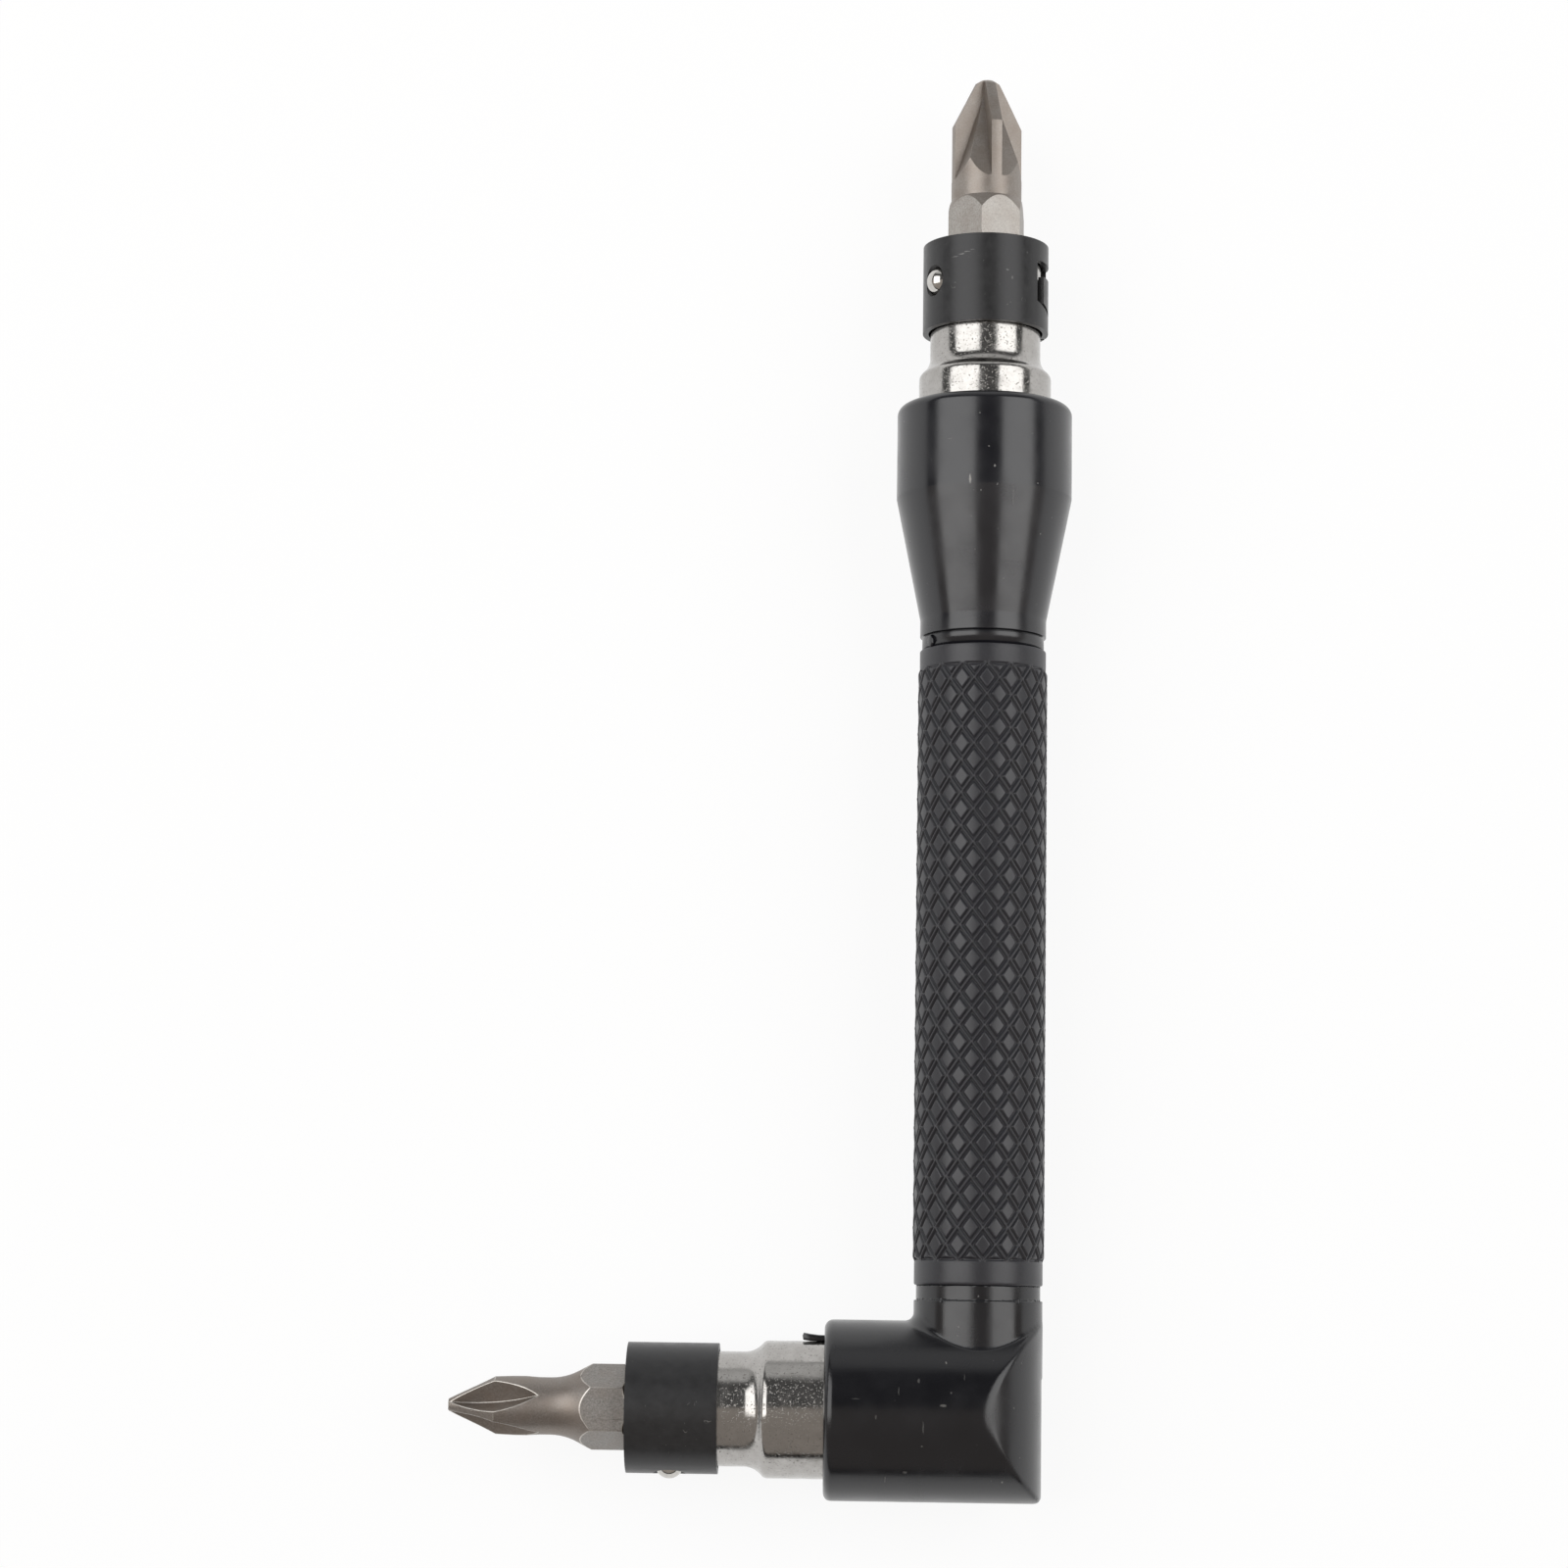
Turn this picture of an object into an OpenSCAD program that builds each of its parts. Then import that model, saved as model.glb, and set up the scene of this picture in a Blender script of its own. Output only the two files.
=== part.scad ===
// Offset screwdriver with a bit socket in line with the handle and another square to it.
// It lies flat as it is put down: handle along +Y, short arm along -X, up is +Z.
// Millimetres. The origin is the centre of its footprint, on the surface that it lies on.

/* [Handle] */
// largest radius of the flared head and radius of the elbow's barrel: the handle lies on both
body_r = 7.7; // [6:0.1:10]
// radius of the plain bands of the grip and of the elbow's neck
grip_r = 5.52; // [4.5:0.01:8]
// length of the grip sleeve, plain bands included
grip_l = 55.05; // [35:0.05:120]
// distance from the arm's axis to the lower end of the elbow's neck, where the groove starts
neck_end = 9.48; // [8.5:0.01:16]
// width of each of the two grooves that part head, grip and elbow
groove_w = 1.27; // [0.8:0.01:3]
// radius of the smooth spigot seen in each groove
groove_r = 5.33; // [4.2:0.01:7.5]
// small chamfer on the edges beside the grooves
groove_chamfer = 0.12; // [0.05:0.01:0.4]

/* [Flared head] */
// short straight length at the head's thin end
head_tail_l = 1.5; // [0.5:0.1:5]
// length of the taper
head_taper_l = 10.85; // [6:0.05:30]
// length of the straight wide part
head_wide_l = 8.3; // [4:0.1:30]
// rounding of the head's front edge
head_edge_r = 0.85; // [0.3:0.05:1.6]

/* [Elbow] */
// distance from the handle's axis to the elbow's mouth
mouth_x = 13.1; // [11:0.1:25]
// radius of the upright round end of the elbow
heel_r = 8.5; // [7.8:0.1:12]
// distance from the handle's axis back to the centre of that round end
heel_x = 3.02; // [0:0.01:6]
// rounding of the elbow's outer edges
elbow_edge_r = 0.75; // [0.3:0.05:1.5]

/* [Knurl] */
// diamonds in one turn
knurl_columns = 16; // [10:1:24]
// diamonds along the grip
knurl_rows = 18; // [8:1:22]
// length of the plain band next to the head
band_top_l = 1.6; // [0.8:0.05:6]
// length of the plain band next to the elbow
band_low_l = 2; // [0.8:0.05:6]
// how far the crests of the crossed ribs lie under the plain bands
rib_drop = 0.03; // [0.01:0.01:0.2]
// depth of the grooves beside the ribs, from the rib crests
knurl_depth = 0.28; // [0.1:0.01:0.6]
// height of the diamond pads above the rib crests
pad_rise = 0.13; // [-0.2:0.01:0.4]
// share of the way from a diamond's centre to its ribs at which its groove is deepest
groove_share = 0.74; // [0.6:0.01:0.9]
// share of the way from a diamond's centre to its ribs at which its pad ends
pad_share = 0.52; // [0.3:0.01:0.7]
// turn of the first column of diamonds away from straight up, in degrees
knurl_turn = 2; // [0:0.5:22]

/* [Core bar] */
// width across the flats of the hexagon bar inside the handle
core_af = 6.35; // [5:0.05:8]
// how far the bar reaches past the arm's axis into the elbow
core_past = 4; // [0:0.1:6]
// radius of the steps of head and elbow that enter the grip
step_r = 4.6; // [4:0.05:6]
// length of those steps
step_l = 2.5; // [1:0.1:6]
// room left beyond the end of each step and of the bar
end_room = 0.3; // [0.1:0.05:1]

/* [Bit sockets] */
// radius of the socket's wide part
socket_wide_r = 5.83; // [5:0.01:8]
// length of the socket's wide part
socket_wide_l = 6; // [5:0.1:12]
// length of that part that stands out of the head
head_show_l = 2.4; // [1:0.05:5]
// length of that part that stands out of the elbow
elbow_show_l = 4.75; // [1:0.05:5]
// radius of the socket's narrow part
socket_slim_r = 4.87; // [4.4:0.01:6]
// length of the narrow part, which ends at the nose
socket_slim_l = 9.9; // [9.2:0.1:16]
// radius of the hollow sweep between the two
sweep_r = 1.9; // [1:0.05:4]
// rounding of the wide part's shoulder
shoulder_r = 0.7; // [0.2:0.05:1.2]
// width across the flats of the hexagon tail that is held in the handle
tail_af = 8; // [6.5:0.1:9.5]
// length of that tail
tail_l = 6; // [4:0.1:8]
// depth of the hexagon hole
hex_depth = 9.7; // [9:0.05:11]
// room between each flat of the hole and the bit
hex_clear = 0.04; // [0.02:0.01:0.1]
// chamfer at the nose, outside and inside
nose_chamfer = 0.3; // [0.1:0.05:0.6]

/* [Ball and spring collar] */
// diameter of the retaining ball
ball_d = 2.5; // [2.4:0.01:2.6]
// room between the ball and what it rests on
ball_gap = 0.02; // [0.01:0.01:0.05]
// room round the ball in its drilled hole
ball_bore_clear = 0.05; // [0.02:0.01:0.1]
// distance of the ball from the nose
ball_back = 3.55; // [2.6:0.05:5]
// turn of the ball from the middle of a flat of the hole, in degrees
ball_turn = 20; // [0:0.5:20]
// inner radius of the spring collar
collar_in_r = 5.05; // [4.95:0.01:6.1]
// thickness of the collar's strip
collar_t = 0.5; // [0.3:0.05:1]
// width of the collar's strip
collar_l = 7.8; // [6:0.1:9]
// how far the collar reaches past the nose
collar_lip = 0.15; // [0:0.05:0.5]
// diameter of the collar's hole for the ball
collar_hole_d = 2.44; // [2.2:0.01:2.48]
// diameter of that hole where it flares to the outside
collar_flare_d = 2.84; // [2.5:0.01:3]
// share of the collar's thickness that the flare takes
flare_share = 0.6; // [0.2:0.05:0.9]
// width of the collar's split
split_w = 0.3; // [0.2:0.05:0.8]
// widest opening of the window in the split, around the collar
window_w = 1.15; // [0.6:0.05:2]
// distance from the collar's rim to the window
window_top = 1.8; // [1:0.05:3]
// distance from the collar's rim to the low end of the window
window_low = 5.5; // [4:0.05:6.2]
// height of the gap above the tongue
tongue_gap = 1.3; // [0.4:0.05:2]
// slope of the window's low edge, in degrees
window_slope = 16; // [0:1:20]
// length of the tongue around the collar
tongue_l = 3.6; // [1.5:0.1:5]

/* [Insert bits] */
// width across the flats of the bits
bit_af = 6.35; // [6.3:0.01:6.4]
// length of each bit
bit_l = 25; // [20:0.5:50]
// room between the end of a bit and the bottom of its hole
bit_end_room = 0.2; // [0.05:0.05:0.5]
// chamfer at the shank end
shank_chamfer = 0.6; // [0.2:0.05:1]
// distance from the shank end to the six notches in the hexagon's edges
notch_at = 9.5; // [8:0.1:11]
// radius of those notches
notch_r = 0.4; // [0.3:0.05:0.8]
// half angle of both points, in degrees
point_angle = 26.5; // [20:0.5:35]

/* [Upper bit with ribs] */
// length of full hexagon
rib_hex_l = 12.6; // [9:0.1:16]
// length of the cone from the hexagon's edges to the neck
rib_cone_l = 1.35; // [0.5:0.1:4]
// radius of its neck
rib_neck_r = 3.12; // [2.6:0.01:3.17]
// radius of its blunt end
rib_tip_r = 0.95; // [0.4:0.05:1.5]
// rounding of its blunt end
rib_tip_round = 0.3; // [0.1:0.05:0.5]
// thickness of its four wings
wing_t = 0.95; // [0.6:0.05:1.6]
// distance from the axis to the crests of the ribs between the wings, at the tip
rib_tip_u = 0.15; // [0:0.05:0.5]
// rise of those crests towards the neck, in degrees
rib_angle = 21; // [18:0.5:26]
// angle from a rib's crest line to each of its sides, in degrees
rib_flank = 58; // [40:1:70]
// turn of the wings from the flats, in degrees
wing_turn = -37; // [-45:0.5:45]

/* [Lower bit with waist] */
// distance from the tip back to the full hexagon
waist_blade_l = 12.35; // [11:0.05:15]
// distance from the tip to the thinnest place
waist_tip_l = 8.8; // [7:0.1:10]
// radius of the thinnest place
waist_r = 2.43; // [1.8:0.01:3]
// slope of the cone behind the waist, in degrees
waist_angle = 28; // [15:1:45]
// radius over the wings
waist_wing_r = 2.51; // [2:0.01:3]
// distance from the tip to the place where the wings reach that radius
waist_wing_l = 6.7; // [5:0.1:8]
// radius of its blunt end
waist_tip_r = 0.5; // [0.3:0.05:1]
// radius of the round cutter path that leaves each flute
flute_path_r = 9.5; // [5:0.1:20]
// distance from the tip to the deepest place of a flute
flute_deep_at = 2; // [0:0.1:5]
// distance from the axis to the deepest place of a flute
flute_u = 0.42; // [0.2:0.02:0.8]
// half angle of the flutes, in degrees
flute_angle = 45; // [38:1:46]
// turn of the flutes from the flats, in degrees
flute_turn = -5; // [-45:0.5:45]

/* [Placing of the two ends] */
// turn of the upper socket's ball flat from straight up, in degrees
upper_turn = -38; // [-60:0.5:60]
// turn of the lower socket's ball flat from straight up, in degrees
lower_turn = -62; // [-90:0.5:90]
// turn of the upper collar's window from straight up, in degrees
upper_window_turn = 53; // [-180:0.1:180]
// turn of the lower collar's window from straight up, in degrees
lower_window_turn = 150; // [-180:1:180]

/* [Hidden] */
$fn = 96;
// what every cut reaches past the surface that it opens
over = 1;
// a small overlap that joins two pieces drawn apart
hair = 0.05;
// room between the ball and the dished edge of the collar's hole
dish_gap = 0.015;

// black moulding, chromed steel, blackened spring steel and plain tool steel
colour_moulding = [0.06, 0.06, 0.065];
colour_chrome = [0.78, 0.79, 0.80];
colour_spring = [0.09, 0.09, 0.10];
colour_tool = [0.55, 0.53, 0.51];

// along the handle, from the arm's axis
grip_start = neck_end + groove_w;
grip_end = grip_start + grip_l;
tail_start = grip_end + groove_w;
taper_start = tail_start + head_tail_l;
wide_start = taper_start + head_taper_l;
head_face = wide_start + head_wide_l;

// the knurl between the plain bands
knurl_start = grip_start + band_low_l;
knurl_end = grip_end - band_top_l;
knurl_pitch = (knurl_end - knurl_start) / knurl_rows;
column_angle = 360 / knurl_columns;
rib_crest_r = grip_r - rib_drop;
deep_r = rib_crest_r - knurl_depth;
pad_r = rib_crest_r + pad_rise;
// the knurled body ends inside the plain bands
knurl_lap = 0.4;
knurl_lap_drop = 0.35;
band_lap = 0.04;

// a socket measured from the end of its wide part, nose outwards
shoulder_to_slim = sqrt(pow(sweep_r + shoulder_r, 2)
  - pow(sweep_r + shoulder_r - (socket_wide_r - socket_slim_r), 2));
nose_z = shoulder_to_slim + socket_slim_l;
wide_back_z = -socket_wide_l;
tail_back_z = wide_back_z - tail_l;
socket_af = bit_af + 2 * hex_clear;
ball_z = nose_z - ball_back;
bit_back_z = nose_z - hex_depth + bit_end_room;

// the ball rests on a flat of the bit and under the edge of the collar's hole
ball_r = ball_d / 2;
ball_out = (bit_af / 2 + ball_r + ball_gap) / cos(ball_turn);
collar_out_r = collar_in_r + collar_t;
window_z = nose_z + collar_lip;

// where the two sockets stand
upper_at = head_face + head_show_l;
lower_at = mouth_x + elbow_show_l;
core_top = upper_at + tail_back_z - end_room;
core_low = -core_past;

// where everything stands on the surface it lies on
arm_reach = lower_at + bit_back_z + bit_l;
handle_reach = upper_at + bit_back_z + bit_l;
origin_x = (arm_reach - body_r) / 2;
origin_y = (body_r - handle_reach) / 2;

// radius over the corners of a hexagon
function corner_r(af) = af / sqrt(3);

// a point on the knurl, by turn, distance from the axis and place along it
function at_turn(turn, r, z) = [r * cos(turn), r * sin(turn), z];

// moves a piece drawn round the crossing of both axes to where it lies
module placed()
  translate([origin_x, origin_y, body_r])
    children();

// turns local +Z into the handle's axis, with local +X straight up
module along_handle()
  rotate([-90, 0, 0])
    rotate([0, 0, -90])
      children();

// turns local +Z into the arm's axis, with local +X straight up
module along_arm()
  rotate([0, -90, 0])
    children();

// a hexagon bar whose first flat faces local +X
module hex_bar(af, l)
  rotate([0, 0, 30])
    cylinder(h = l, r = corner_r(af), $fn = 6);

// the bar's own room, open through a piece from low to high
module core_room(low, high)
  translate([0, 0, low])
    hex_bar(core_af, high - low);

// Flared head with its spigot into the grip
module head_profile() {
  polygon([
    [0, grip_end - step_l],
    [step_r, grip_end - step_l],
    [step_r, grip_end],
    [groove_r, grip_end],
    [groove_r, tail_start],
    [grip_r - groove_chamfer, tail_start],
    [grip_r, tail_start + groove_chamfer],
    [grip_r, taper_start],
    [body_r, wide_start],
    [body_r, head_face - head_edge_r],
    [body_r - head_edge_r, head_face - head_edge_r],
    [body_r - head_edge_r, head_face],
    [0, head_face]
  ]);
  translate([body_r - head_edge_r, head_face - head_edge_r])
    circle(r = head_edge_r);
}

module head_ferrule()
  color(colour_moulding)
    placed()
      along_handle()
        difference() {
          rotate_extrude()
            head_profile();
          core_room(grip_end - step_l - over, upper_at + tail_back_z);
          translate([0, 0, upper_at])
            rotate([0, 0, upper_turn])
              socket_seat(over);
        }

// what a socket's tail and wide part fill in the piece that holds them
module socket_seat(out) {
  translate([0, 0, wide_back_z])
    cylinder(h = socket_wide_l + out, r = socket_wide_r);
  translate([0, 0, tail_back_z])
    hex_bar(tail_af, tail_l + hair);
}

// Knurled grip: crossed ribs, a groove beside each rib and a pad in every diamond

// turn of a column and height of a row of rib crossings
function column_turn(i) = knurl_turn + i * column_angle;
function row_z(j) = knurl_start + j * knurl_pitch;

// number of the crossing in column i and row j, and of the one half a step on both ways
function crossing(i, j) = (i + knurl_columns) % knurl_columns + knurl_columns * j;
function half_crossing(i, j) = knurl_columns * (knurl_rows + 1) + crossing(i, j);

// corners of a diamond drawn in by a share, first the lowest, then round as seen from outside
function diamond(i, j, share, r) = [
  for (c = [[0, -1], [1, 0], [0, 1], [-1, 0]])
    at_turn(column_turn(i + share * c[0] / 2), r, row_z(j + share * c[1] / 2))
];

// the same for a half diamond at an end of the knurl, drawn in towards its own middle
function half_diamond(i, j, up, share, r) = let(mid = up / 3) [
  for (c = [[-up, 0], [up, 0], [0, up]])
    at_turn(column_turn(i + share * c[0] / 2), r, row_z(j + (mid + share * (c[1] - mid)) / 2))
];

// triangles between an outer and an inner ring of corners
function ring_faces(outer, inner) = let(n = len(outer)) [
  for (i = [0 : n - 1]) let(k = (i + 1) % n)
    each [[outer[i], inner[i], outer[k]], [outer[k], inner[i], inner[k]]]
];

// from the ribs down to the groove, up to the pad and over it
function cell_faces(ribs, first) = let(
  n = len(ribs),
  groove = [for (i = [0 : n - 1]) first + i],
  pad = [for (i = [0 : n - 1]) first + n + i]
) concat(
  ring_faces(ribs, groove),
  ring_faces(groove, pad),
  [for (i = [1 : n - 2]) [pad[0], pad[i + 1], pad[i]]]
);

module knurl_body() {
  n = knurl_columns;
  m = knurl_rows;
  // each cell is its column, its row and the numbers of its rib crossings
  diamonds = concat(
    [for (j = [0 : m - 1], i = [0 : n - 1]) [i, j + 0.5,
      [crossing(i, j), half_crossing(i, j), crossing(i, j + 1), half_crossing(i - 1, j)]]],
    [for (j = [1 : m - 1], i = [0 : n - 1]) [i + 0.5, j,
      [half_crossing(i, j - 1), crossing(i + 1, j), half_crossing(i, j), crossing(i, j)]]]
  );
  halves = concat(
    [for (i = [0 : n - 1]) [i + 0.5, 0, 1,
      [crossing(i, 0), crossing(i + 1, 0), half_crossing(i, 0)]]],
    [for (i = [0 : n - 1]) [i + 0.5, m, -1,
      [crossing(i + 1, m), crossing(i, m), half_crossing(i, m - 1)]]]
  );
  // a cell adds one ring of corners at its groove and one at its pad
  per_diamond = 2 * len(diamonds[0][2]);
  per_half = 2 * len(halves[0][3]);
  diamond_first = n * (m + 1) + n * m;
  half_first = diamond_first + per_diamond * len(diamonds);
  low = half_first + per_half * len(halves);
  high = low + n;
  polyhedron(
    points = concat(
      [for (j = [0 : m], i = [0 : n - 1]) at_turn(column_turn(i), rib_crest_r, row_z(j))],
      [for (j = [0 : m - 1], i = [0 : n - 1])
        at_turn(column_turn(i + 0.5), rib_crest_r, row_z(j + 0.5))],
      [for (d = diamonds) each concat(
        diamond(d[0], d[1], groove_share, deep_r),
        diamond(d[0], d[1], pad_share, pad_r))],
      [for (h = halves) each concat(
        half_diamond(h[0], h[1], h[2], groove_share, deep_r),
        half_diamond(h[0], h[1], h[2], pad_share, pad_r))],
      [for (z = [knurl_start - knurl_lap, knurl_end + knurl_lap], i = [0 : n - 1])
        at_turn(column_turn(i), rib_crest_r - knurl_lap_drop, z)]
    ),
    faces = concat(
      [for (k = [0 : len(diamonds) - 1])
        each cell_faces(diamonds[k][2], diamond_first + per_diamond * k)],
      [for (k = [0 : len(halves) - 1])
        each cell_faces(halves[k][3], half_first + per_half * k)],
      ring_faces([for (i = [0 : n - 1]) low + i], [for (i = [0 : n - 1]) crossing(i, 0)]),
      ring_faces([for (i = [0 : n - 1]) crossing(i, m)], [for (i = [0 : n - 1]) high + i]),
      [[for (i = [0 : n - 1]) low + i]],
      [[for (i = [n - 1 : -1 : 0]) high + i]]
    )
  );
}

// a plain band of the grip
module band(low, l)
  translate([0, 0, low])
    cylinder(h = l, r = grip_r);

module grip_sleeve()
  color(colour_moulding)
    placed()
      along_handle()
        difference() {
          union() {
            knurl_body();
            band(grip_start, band_low_l + band_lap);
            band(knurl_end - band_lap, band_top_l + band_lap);
          }
          core_room(grip_start - over, grip_end + over);
          translate([0, 0, grip_start - over])
            cylinder(h = over + step_l + end_room, r = step_r);
          translate([0, 0, grip_end - step_l - end_room])
            cylinder(h = over + step_l + end_room, r = step_r);
        }

// Elbow: a neck along the handle and a barrel along the arm with an upright round heel
module neck_profile()
  polygon([
    [0, 0],
    [grip_r, 0],
    [grip_r, neck_end - groove_chamfer],
    [grip_r - groove_chamfer, neck_end],
    [groove_r, neck_end],
    [groove_r, grip_start],
    [step_r, grip_start],
    [step_r, grip_start + step_l],
    [0, grip_start + step_l]
  ]);

// barrel from the far side of the heel to the rounded mouth, along the arm
module barrel_profile() {
  far = heel_r;
  polygon([
    [0, -far],
    [body_r, -far],
    [body_r, mouth_x - elbow_edge_r],
    [body_r - elbow_edge_r, mouth_x - elbow_edge_r],
    [body_r - elbow_edge_r, mouth_x],
    [0, mouth_x]
  ]);
  translate([body_r - elbow_edge_r, mouth_x - elbow_edge_r])
    circle(r = elbow_edge_r);
}

// upright round end, rounded along its low edge
module heel_profile() {
  polygon([
    [0, -body_r],
    [heel_r - elbow_edge_r, -body_r],
    [heel_r - elbow_edge_r, elbow_edge_r - body_r],
    [heel_r, elbow_edge_r - body_r],
    [heel_r, body_r + over],
    [0, body_r + over]
  ]);
  translate([heel_r - elbow_edge_r, elbow_edge_r - body_r])
    circle(r = elbow_edge_r);
}

module elbow_solid() {
  along_handle()
    rotate_extrude()
      neck_profile();
  intersection() {
    along_arm()
      rotate_extrude()
        barrel_profile();
    union() {
      translate([-heel_x, 0, 0])
        along_handle()
          rotate_extrude()
            heel_profile();
      translate([-mouth_x - over, -body_r - over, -body_r - over])
        cube([mouth_x + over - heel_x, 2 * (body_r + over), 2 * (body_r + over)]);
    }
  }
}

module elbow_housing()
  color(colour_moulding)
    placed()
      difference() {
        elbow_solid();
        along_handle()
          core_room(core_low, grip_start + step_l + over);
        along_arm()
          translate([0, 0, lower_at])
            rotate([0, 0, lower_turn])
              socket_seat(over);
      }

// Hexagon bar that joins head and elbow
module handle_core()
  color(colour_tool)
    placed()
      along_handle()
        core_room(core_low, core_top);

// Bit socket, drawn from the front end of its wide part, nose towards +Z
module socket_profile() {
  shoulder_x = socket_wide_r - shoulder_r;
  sweep_x = socket_slim_r + sweep_r;
  difference() {
    union() {
      polygon([
        [0, wide_back_z],
        [socket_wide_r, wide_back_z],
        [socket_wide_r, 0],
        [shoulder_x, 0],
        [sweep_x, shoulder_to_slim],
        [0, shoulder_to_slim]
      ]);
      translate([shoulder_x, 0])
        circle(r = shoulder_r);
      polygon([
        [0, 0],
        [socket_slim_r, 0],
        [socket_slim_r, nose_z - nose_chamfer],
        [socket_slim_r - nose_chamfer, nose_z],
        [0, nose_z]
      ]);
    }
    translate([sweep_x, shoulder_to_slim])
      circle(r = sweep_r);
  }
}

module bit_socket()
  difference() {
    union() {
      rotate_extrude()
        socket_profile();
      translate([0, 0, tail_back_z])
        hex_bar(tail_af, tail_l + hair);
    }
    translate([0, 0, nose_z - hex_depth])
      hex_bar(socket_af, hex_depth + over);
    translate([0, 0, nose_z - nose_chamfer])
      cylinder(h = nose_chamfer + over, r1 = socket_af / 2, r2 = socket_af / 2 + nose_chamfer + over);
    ball_room();
  }

// drilled room for the ball, with a round seat that keeps it from falling through
module ball_room()
  rotate([0, 0, -ball_turn])
    translate([ball_out, 0, ball_z]) {
      sphere(r = ball_r + ball_bore_clear);
      rotate([0, 90, 0])
        cylinder(h = socket_slim_r, r = ball_r + ball_bore_clear);
    }

// Spring collar: a split ring with a stepped split, a window and a hole for the ball
module split_shape() {
  // across the collar from the window's left edge, and down from the rim
  right = window_w + tongue_l;
  low_drop = window_w * tan(window_slope);
  run_drop = right * tan(window_slope);
  tongue_top = window_top + tongue_gap;
  polygon([
    [right, over],
    [right, -tongue_top],
    [window_w, -tongue_top],
    [window_w, -window_low - low_drop + split_w],
    [right + split_w, -window_low - run_drop + split_w],
    [right + split_w, -collar_l - over],
    [right, -collar_l - over],
    [right, -window_low - run_drop],
    [0, -window_low],
    [0, -window_top],
    [right - split_w, -window_top],
    [right - split_w, over]
  ]);
}

module spring_collar(ball_at, window_at)
  difference() {
    translate([0, 0, window_z - collar_l])
      cylinder(h = collar_l, r = collar_out_r);
    translate([0, 0, window_z - collar_l - over])
      cylinder(h = collar_l + 2 * over, r = collar_in_r);
    rotate([0, 0, ball_at])
      translate([ball_out, 0, ball_z]) {
        sphere(r = ball_r + dish_gap);
        rotate([0, 90, 0])
          cylinder(h = collar_out_r, r = collar_hole_d / 2);
      }
    rotate([0, 0, ball_at])
      translate([collar_out_r - flare_share * collar_t, 0, ball_z])
        rotate([0, 90, 0])
          cylinder(h = 2 * flare_share * collar_t, r1 = collar_hole_d / 2,
            r2 = collar_flare_d - collar_hole_d / 2);
    rotate([0, 0, window_at])
      split_cut();
  }

// the split is cut straight in, square to the strip at the window's left edge
module split_cut() {
  reach = collar_out_r + over;
  turn_in = asin((window_w + tongue_l) / 2 / collar_out_r);
  rotate([0, 0, turn_in])
    translate([0, -collar_out_r * sin(turn_in), window_z])
      rotate([90, 0, 90])
        linear_extrude(height = reach)
          split_shape();
}

module retaining_ball()
  rotate([0, 0, -ball_turn])
    translate([ball_out, 0, ball_z])
      sphere(r = ball_r);

// Insert bits, drawn from the shank end, point towards +Z

// notches in the six edges of a shank, clear of its flats
module edge_notches()
  rotate_extrude()
    translate([bit_af / 2 + notch_r + hair, notch_at])
      circle(r = notch_r);

// a shank is the room that its turned outline shares with a hexagon bar
module turned_shank()
  difference() {
    intersection() {
      hex_bar(bit_af, bit_l);
      rotate_extrude()
        children();
    }
    edge_notches();
  }

module ribbed_outline() {
  point_l = (rib_neck_r - rib_tip_r) / tan(point_angle);
  edge = corner_r(bit_af);
  polygon([
    [0, 0],
    [edge - shank_chamfer, 0],
    [edge, shank_chamfer],
    [edge, rib_hex_l],
    [rib_neck_r, rib_hex_l + rib_cone_l],
    [rib_neck_r, bit_l - point_l],
    [rib_tip_r + rib_tip_round * tan(point_angle), bit_l - rib_tip_round],
    [rib_tip_r - rib_tip_round, bit_l],
    [0, bit_l]
  ]);
}

// a rib is a long wedge with its crest leaning outwards from the tip
module rib() {
  reach = 2 * rib_neck_r;
  translate([rib_tip_u, 0, bit_l])
    rotate([0, -rib_angle, 0])
      translate([0, 0, -bit_l])
        linear_extrude(height = 2 * bit_l)
          polygon([[0, 0], [-reach, reach * tan(rib_flank)], [-reach, -reach * tan(rib_flank)]]);
}

// what is cut away between two wings, all but the rib
module between_wings()
  difference() {
    translate([wing_t / sqrt(2), 0, rib_hex_l])
      rotate([0, 0, -45])
        cube([2 * rib_neck_r, 2 * rib_neck_r, bit_l]);
    rib();
  }

module ribbed_bit()
  difference() {
    turned_shank()
      ribbed_outline();
    for (i = [0 : 3])
      rotate([0, 0, wing_turn + 45 + i * 90])
        between_wings();
  }

module waisted_outline() {
  point_l = (waist_wing_r - waist_tip_r) / tan(point_angle);
  edge = corner_r(bit_af);
  rise = edge - waist_r;
  hex_end = bit_l - waist_blade_l;
  waist_at = bit_l - waist_tip_l;
  run = waist_at - hex_end;
  bend_r = (run * tan(waist_angle) - rise) / (sin(waist_angle) * tan(waist_angle)
    - (1 - cos(waist_angle)));
  bend_x = waist_r + bend_r;
  // straight from the thinnest place to where the bend's circle has left the wings
  waist_l = sqrt(pow(bend_r, 2) - pow(bend_x - waist_wing_r, 2)) + hair;
  difference() {
    polygon([
      [0, 0],
      [edge - shank_chamfer, 0],
      [edge, shank_chamfer],
      [edge, hex_end],
      [waist_r + bend_r * (1 - cos(waist_angle)), waist_at - bend_r * sin(waist_angle)],
      [waist_r, waist_at],
      [waist_r, waist_at + waist_l],
      [waist_wing_r, bit_l - waist_wing_l],
      [waist_wing_r, bit_l - point_l],
      [waist_tip_r, bit_l],
      [0, bit_l]
    ]);
    translate([bend_x, waist_at])
      circle(r = bend_r);
  }
}

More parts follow.
